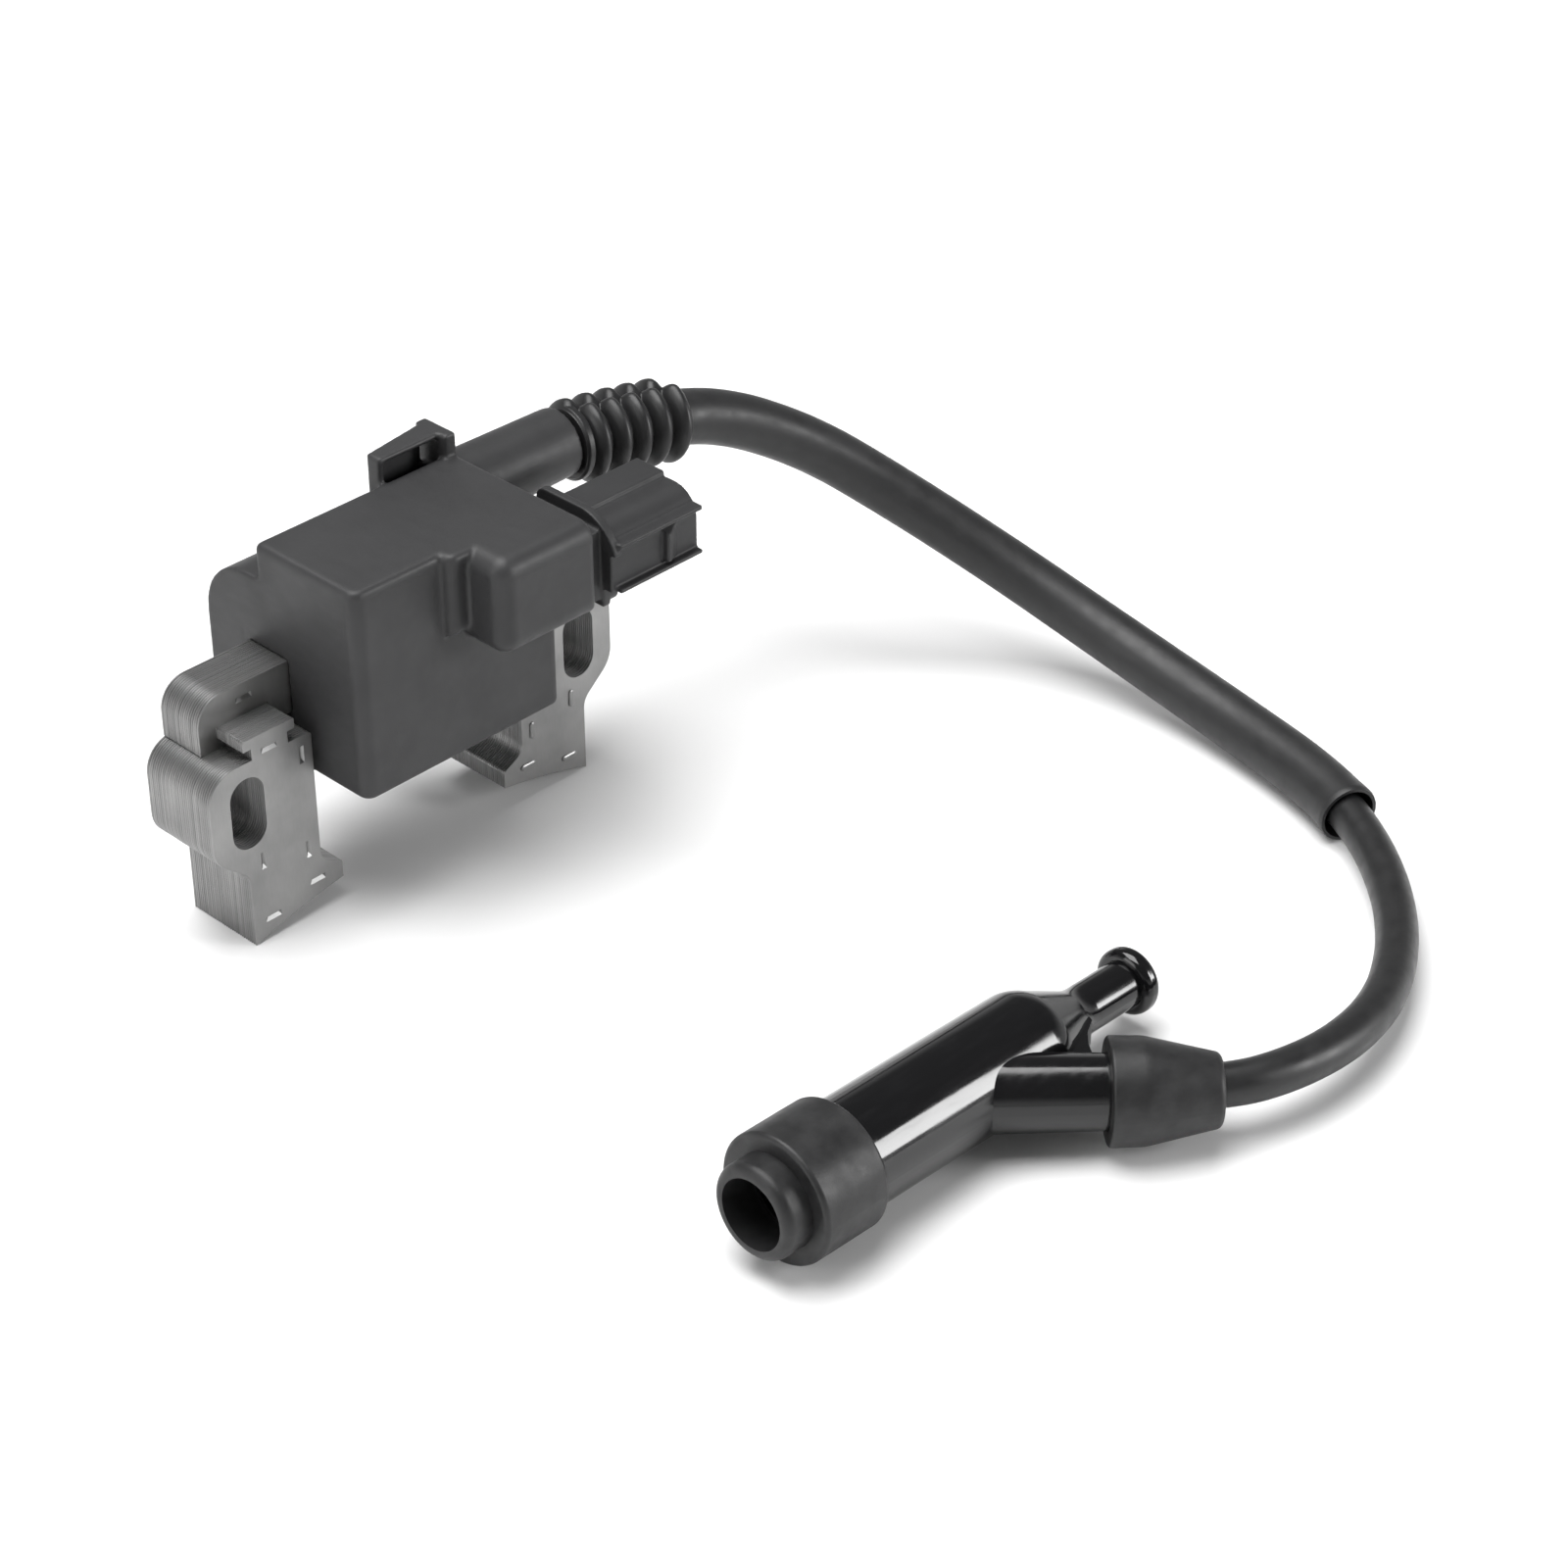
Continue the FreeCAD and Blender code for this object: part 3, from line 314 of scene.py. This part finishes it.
class Line:
    """A polyline read by distance along it, with a frame that never twists."""

    def __init__(self, points, up=Vector((0, 0, 1))):
        self.points = points
        self.along = [0.0]
        for a, b in zip(points, points[1:]):
            self.along.append(self.along[-1] + (b - a).length)
        self.ups = []
        for i in range(len(points)):
            way = self.way_at(i)
            up = (up - way * up.dot(way)).normalized()
            self.ups.append(up)

    def way_at(self, i):
        a, b = self.points[max(i - 1, 0)], self.points[min(i + 1, len(self.points) - 1)]
        return (b - a).normalized()

    def at(self, distance):
        """(point, way, up, side) at a distance along the line."""
        distance = min(max(distance, 0.0), self.along[-1])
        i = next(k for k in range(1, len(self.along)) if self.along[k] >= distance - 1e-12)
        t = (distance - self.along[i - 1]) / (self.along[i] - self.along[i - 1])
        point = self.points[i - 1].lerp(self.points[i], t)
        way = self.way_at(i - 1).lerp(self.way_at(i), t).normalized()
        up = self.ups[i - 1].lerp(self.ups[i], t)
        up = (up - way * up.dot(way)).normalized()
        return point, way, up, up.cross(way)

    def nearest(self, place):
        """The distance along the line of the point nearest to a place."""
        i = min(range(len(self.points)), key=lambda k: (self.points[k] - place).length)
        return self.along[i]


def tube_along(name, line, start, end, steps, turns, outer, inner):
    """A hollow tube along a line: outer and inner give a radius for (distance, angle)."""
    bm = bmesh.new()
    rings = []
    for radius, order in ((outer, range(steps + 1)), (inner, range(steps, -1, -1))):
        for k in order:
            distance = start + (end - start) * k / steps
            point, _, up, side = line.at(distance)
            ring = []
            for j in range(turns):
                angle = 2 * math.pi * j / turns
                r = radius(distance, angle)
                ring.append(bm.verts.new(point + (up * math.cos(angle) + side * math.sin(angle)) * r))
            rings.append(ring)
    for k in range(len(rings)):
        one, two = rings[k], rings[(k + 1) % len(rings)]
        for j in range(turns):
            bm.faces.new((one[j], one[(j + 1) % turns], two[(j + 1) % turns], two[j]))
    return mesh_from(name, bm, 50)


LINE = Line(centreline())
lead = new_piece("lead", route_curve("lead", LEAD_RADIUS), MATERIALS["lead_rubber"])
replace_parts(lead, "ht_lead")
strand = new_piece("lead_strand", route_curve("lead_strand", STRAND_RADIUS),
                   MATERIALS["copper"])
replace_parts(strand, "lead_conductor")

BOOT_START = 0.7 * MM + LINE.nearest(Vector((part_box("case")[1].x, LEAD_ROUTE[1][1], LEAD_ROUTE[1][2])))
BOOT_PITCH = 4.4 * MM
BOOT_LONG = 23.2 * MM
BOOT_BORE = 4.1 * MM
SLEEVE_END = LINE.nearest((Vector(LEAD_ROUTE[9]) + Vector(LEAD_ROUTE[10])) / 2)


def make_sleeve():
    """Thin sleeving over the lead, from under the boot, with a slightly flared cut end."""
    def outer(distance, angle):
        end = smoothstep(SLEEVE_END - 5 * MM, SLEEVE_END, distance)
        cut = smoothstep(SLEEVE_END - 0.5 * MM, SLEEVE_END, distance)
        oval = 0.12 * MM * math.cos(2 * angle + distance * 30)
        return SLEEVE_RADIUS + oval * (1 + end) + 0.15 * MM * end - 0.2 * MM * cut

    def inner(distance, angle):
        return outer(min(distance, SLEEVE_END - 0.6 * MM), angle) - SLEEVE_WALL

    mesh = tube_along("sleeve", LINE, BOOT_START + BOOT_LONG - 2 * MM, SLEEVE_END, 260, 64, outer, inner)
    piece = new_piece("sleeve", mesh, MATERIALS["sleeve_rubber"])
    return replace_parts(piece, "lead_sleeve")


def make_boot():
    """Strain relief: half ribs on the front, and on the back half a pitch before them."""
    ribs, valley, crest, width = 5, 5.25 * MM, 2.3 * MM, 1.9 * MM

    def ridge(offset):
        x = abs(offset) / width
        return math.cos(x * math.pi / 2) ** 0.75 if x < 1 else 0.0

    def outer(distance, angle):
        s = distance - BOOT_START
        front = -math.sin(angle)
        reach_front = smoothstep(-0.32, 0.3, front)
        reach_back = smoothstep(-0.32, 0.3, -front)
        high = 0.0
        for k in range(ribs):
            back_at = 1.7 * MM + BOOT_PITCH * k
            high = max(high, ridge(s - back_at) * reach_back)
            high = max(high, ridge(s - back_at - BOOT_PITCH / 2) * reach_front)
        cuff = 1.35 * MM * (1 - smoothstep(1.4 * MM, 2.6 * MM, s))
        rim = 0.5 * MM * (1 - smoothstep(0.0, 0.5 * MM, s))
        tail = 0.9 * MM * smoothstep(BOOT_LONG - 0.8 * MM, BOOT_LONG, s)
        return valley + max(high * crest, cuff) - rim - tail

    mesh = tube_along("boot", LINE, BOOT_START, BOOT_START + BOOT_LONG, 240, 128, outer,
                      lambda distance, angle: BOOT_BORE)
    piece = new_piece("boot", mesh, MATERIALS["boot_rubber"])
    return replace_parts(piece, "ribbed_boot")


sleeve = make_sleeve()
boot = make_boot()


# ---------------------------------------------------------------- laminated core
SHEET_CHAMFER, SHEET_GAP = 0.07 * MM, 0.07 * MM
PIT_DEPTH, PAD_HEIGHT = 0.45 * MM, 0.3 * MM


def section_loops(node, level):
    """The closed outlines of a node cut by a plane across Y, as lists of (x, z)."""
    bm = bmesh.new()
    bm.from_mesh(NODES[node].data)
    bmesh.ops.remove_doubles(bm, verts=bm.verts, dist=1e-6)
    bmesh.ops.bisect_plane(bm, geom=bm.verts[:] + bm.edges[:] + bm.faces[:], dist=1e-7,
                           plane_co=(0, level, 0), plane_no=(0, 1, 0),
                           clear_inner=True, clear_outer=True)
    bmesh.ops.remove_doubles(bm, verts=bm.verts, dist=2e-6)
    loops, left = [], set(bm.verts)
    while left:
        first = left.pop()
        loop, here, before = [first], first, None
        while True:
            onward = [e.other_vert(here) for e in here.link_edges if e.other_vert(here) is not before]
            before, here = here, onward[0]
            if here is first:
                break
            left.discard(here)
            loop.append(here)
        loops.append(straightened([(v.co.x, v.co.z) for v in loop]))
    bm.free()
    return loops


def straightened(points):
    """The outline without the points that lie on a straight line between their neighbours."""
    kept = []
    for i, point in enumerate(points):
        a, b = Vector(points[i - 1]), Vector(points[(i + 1) % len(points)])
        one, two = Vector(point) - a, b - Vector(point)
        if one.length > 1e-7 and two.length > 1e-7 and abs(one.angle(two)) > 0.01:
            kept.append(point)
    return kept


def grown(points, amount):
    """The outline moved outwards by an amount, at right angles to its sides."""
    area = sum(a[0] * b[1] - b[0] * a[1] for a, b in zip(points, points[1:] + points[:1]))
    sign = 1 if area > 0 else -1
    moved = []
    for i, point in enumerate(points):
        before, after = Vector(points[i - 1]), Vector(points[(i + 1) % len(points)])
        here = Vector(point)
        one, two = (here - before).normalized(), (after - here).normalized()
        normal = Vector((one.y + two.y, -one.x - two.x)).normalized() * sign
        spread = max(normal.dot(Vector((one.y, -one.x)) * sign), 0.4)
        moved.append(tuple(here + normal * amount / spread))
    return moved


def add_sheet(bm, loops, front, back, shift, growth):
    """One stamped sheet, its edges broken by a small chamfer on both faces."""
    chamfer = SHEET_CHAMFER
    levels = [(front, -chamfer), (front + chamfer, 0.0), (back - chamfer, 0.0), (back, -chamfer)]
    ends = []
    largest = max(range(len(loops)), key=lambda k: max(p[1] for p in loops[k]))
    for k, loop in enumerate(loops):
        side = 1 if k == largest else -1
        rings = []
        for level, inset in levels:
            ring = grown(loop, side * (growth + inset))
            rings.append([bm.verts.new((x + shift[0], level, z + shift[1])) for x, z in ring])
        for one, two in zip(rings, rings[1:]):
            for j in range(len(one)):
                after = (j + 1) % len(one)
                bm.faces.new((one[j], one[after], two[after], two[j]))
        ends.append((rings[0], rings[-1]))
    for which in (0, 1):
        edges = []
        for pair in ends:
            ring = pair[which]
            edges += [bm.edges.get((ring[j], ring[(j + 1) % len(ring)])) for j in range(len(ring))]
        bmesh.ops.triangle_fill(bm, use_beauty=True, use_dissolve=False, edges=edges)


def add_oblong(bm, place, upright, front, depth, valley):
    """An interlock mark: a V-shaped pit cutter, or a low rounded pad standing proud."""
    long, wide = 1.65 * MM, 0.55 * MM
    x, z = place
    rings = []
    if valley:
        outline = [(-long, -wide), (long, -wide), (long, wide), (-long, wide)]
        floor = [(-long * 0.55, wide * 0.1), (long * 0.85, wide * 0.1),
                 (long * 0.85, wide * 0.3), (-long * 0.55, wide * 0.3)]
        levels = [(front - 0.2 * MM, outline), (front, outline), (front + depth, floor)]
    else:
        outline, steps = [], 10
        for centre, turn in ((long - wide, -90), (wide - long, 90)):
            for k in range(steps + 1):
                angle = math.radians(turn + 180 * k / steps)
                outline.append((centre + wide * math.cos(angle), wide * math.sin(angle)))
        inner = [(a * 0.86, b * 0.6) for a, b in outline]
        levels = [(front + 0.2 * MM, outline), (front - depth * 0.5, outline), (front - depth, inner)]
    for level, points in levels:
        if upright:
            points = [(b, a) for a, b in points]
        rings.append([bm.verts.new((x + a, level, z + b)) for a, b in points])
    for one, two in zip(rings, rings[1:]):
        for j in range(len(one)):
            bm.faces.new((one[j], one[(j + 1) % len(one)], two[(j + 1) % len(one)], two[j]))
    bm.faces.new(rings[0])
    bm.faces.new(reversed(rings[-1]))


# Interlock marks of a leg: distance inwards from the slot's middle, level, upright?
MARKS = [(5.1, 35.7, False), (11.4, 31.3, True), (2.1, 15.4, True),
         (11.3, 13.1, True), (12.6, 6.5, False), (3.1, 3.95, False)]


def cut_with(mesh, cutters):
    """The mesh less the cutters' volume."""
    base = bpy.data.objects.new("base", mesh)
    tool = bpy.data.objects.new("tool", cutters)
    for obj in (base, tool):
        bpy.context.scene.collection.objects.link(obj)
    modifier = base.modifiers.new("cut", "BOOLEAN")
    modifier.object, modifier.operation, modifier.solver = tool, "DIFFERENCE", "EXACT"
    bpy.context.view_layer.update()
    graph = bpy.context.evaluated_depsgraph_get()
    result = bpy.data.meshes.new_from_object(base.evaluated_get(graph))
    for obj in (base, tool):
        bpy.data.objects.remove(obj)
    return result


def make_stack(name, node, front, back, marks, sunk_front):
    """A node's outline repeated sheet by sheet, with its interlock marks on the faces."""
    loops = section_loops(node, (front + back) / 2)
    count = round((back - front) / STEEL_SHEET)
    stack = bmesh.new()
    for i in range(count):
        shift = [random.gauss(0, 0.006) * MM if 0 < i < count - 1 else 0.0 for _ in range(2)]
        growth = random.uniform(-0.01, 0.01) * MM
        bm = bmesh.new()
        add_sheet(bm, loops, front + i * STEEL_SHEET + SHEET_GAP / 2,
                  front + (i + 1) * STEEL_SHEET - SHEET_GAP / 2, shift, growth)
        mesh = mesh_from("sheet", bm)
        if sunk_front and i == 0:
            cutters = bmesh.new()
            for place, upright in marks:
                add_oblong(cutters, place, upright, front, PIT_DEPTH, True)
            mesh = cut_with(mesh, mesh_from("pits", cutters))
        stack.from_mesh(mesh)
    if not sunk_front:
        for place, upright in marks:
            add_oblong(stack, place, upright, front, PAD_HEIGHT, False)
    piece = new_piece(name, mesh_from(name, stack, 25),
                      MATERIALS["lamination_steel"])
    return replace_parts(piece, node)


SLOT_IN = 7.5 * MM
BAR_MARK_IN, BAR_MARK_DOWN = 9.3 * MM, 2.7 * MM
STACK_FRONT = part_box("pole_leg_left")[0].y
STACK_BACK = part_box("core_bar")[1].y
LEFT_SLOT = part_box("pole_leg_left")[0].x + SLOT_IN
RIGHT_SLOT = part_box("pole_leg_right")[1].x - SLOT_IN
left_marks = [((LEFT_SLOT + u * MM, z * MM), upright) for u, z, upright in MARKS]
right_marks = [((RIGHT_SLOT - u * MM, z * MM), upright) for u, z, upright in MARKS]
make_stack("left_leg_sheets", "pole_leg_left", STACK_FRONT, STACK_BACK, left_marks, True)
make_stack("right_leg_sheets", "pole_leg_right", STACK_FRONT, STACK_BACK, right_marks, False)
bar_low, bar_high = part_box("core_bar")
bar_marks = [((bar_low.x + BAR_MARK_IN, bar_high.z - BAR_MARK_DOWN), False),
             ((bar_high.x - BAR_MARK_IN, bar_high.z - BAR_MARK_DOWN), False)]
make_stack("bar_sheets", "core_bar", bar_low.y, bar_high.y, bar_marks, True)


# ---------------------------------------------------------------- edges of the moulded parts
CASE_VOXEL, CASE_ROUNDS = 0.32 * MM, 7
SHELL_VOXEL, SHELL_ROUNDS = 0.22 * MM, 4


def melt(node, voxel, rounds):
    """A moulding's soft edges and filled corners, over the CAD part's own shape."""
    obj = NODES[node]
    skin = obj.modifiers.new("skin", "REMESH")
    skin.mode, skin.voxel_size, skin.use_smooth_shade = "VOXEL", voxel, True
    smooth = obj.modifiers.new("melt", "SMOOTH")
    smooth.factor, smooth.iterations = 0.5, rounds


melt("case", CASE_VOXEL, CASE_ROUNDS)
melt("connector_shell", SHELL_VOXEL, SHELL_ROUNDS)


# ---------------------------------------------------------------- floor and light
def make_floor():
    """A plain pale floor, just under the object."""
    bm = bmesh.new()
    bmesh.ops.create_grid(bm, x_segments=1, y_segments=1, size=4)
    floor = bpy.data.objects.new("floor", mesh_from("floor", bm))
    floor.location.z = -0.05 * MM
    bpy.context.scene.collection.objects.link(floor)
    s = Shader("floor", (0.86, 0.86, 0.86), 0.7)
    s.colour(s.mix(s.noise(4, 2), (0.85, 0.85, 0.85), (0.87, 0.87, 0.87)))
    floor.data.materials.append(s.material)


def area_light(name, place, target, size, power):
    data = bpy.data.lights.new(name, "AREA")
    data.shape, data.size, data.size_y, data.energy = "RECTANGLE", size[0], size[1], power
    obj = bpy.data.objects.new(name, data)
    obj.location = place
    obj.rotation_euler = (Vector(target) - Vector(place)).to_track_quat("-Z", "Y").to_euler()
    bpy.context.scene.collection.objects.link(obj)


def make_light():
    """A pale haze at the horizon under a dim sky, and three soft boxes."""
    world = bpy.data.worlds.new("world")
    bpy.context.scene.world = world
    world.use_nodes = True
    nodes, links = world.node_tree.nodes, world.node_tree.links
    way = nodes.new("ShaderNodeSeparateXYZ")
    links.new(nodes.new("ShaderNodeTexCoord").outputs["Generated"], way.inputs[0])
    haze = nodes.new("ShaderNodeMapRange")
    for name, value in (("From Min", 0.1), ("From Max", 0.4), ("To Min", 0.8), ("To Max", 0.13)):
        haze.inputs[name].default_value = value
    links.new(way.outputs["Z"], haze.inputs["Value"])
    nodes["Background"].inputs["Color"].default_value = (1, 1, 1, 1)
    links.new(haze.outputs[0], nodes["Background"].inputs["Strength"])
    centre = (0.04, -0.06, 0.03)
    area_light("top", (-0.1, 0.15, 1.1), centre, (1.0, 0.9), 20)
    area_light("left", (-1.0, 0.2, 0.5), centre, (0.6, 0.7), 3.5)
    area_light("streak", (0.62, -0.87, 0.34), centre, (0.28, 0.45), 6)
    bpy.context.scene.view_settings.view_transform = "Standard"


make_floor()
make_light()
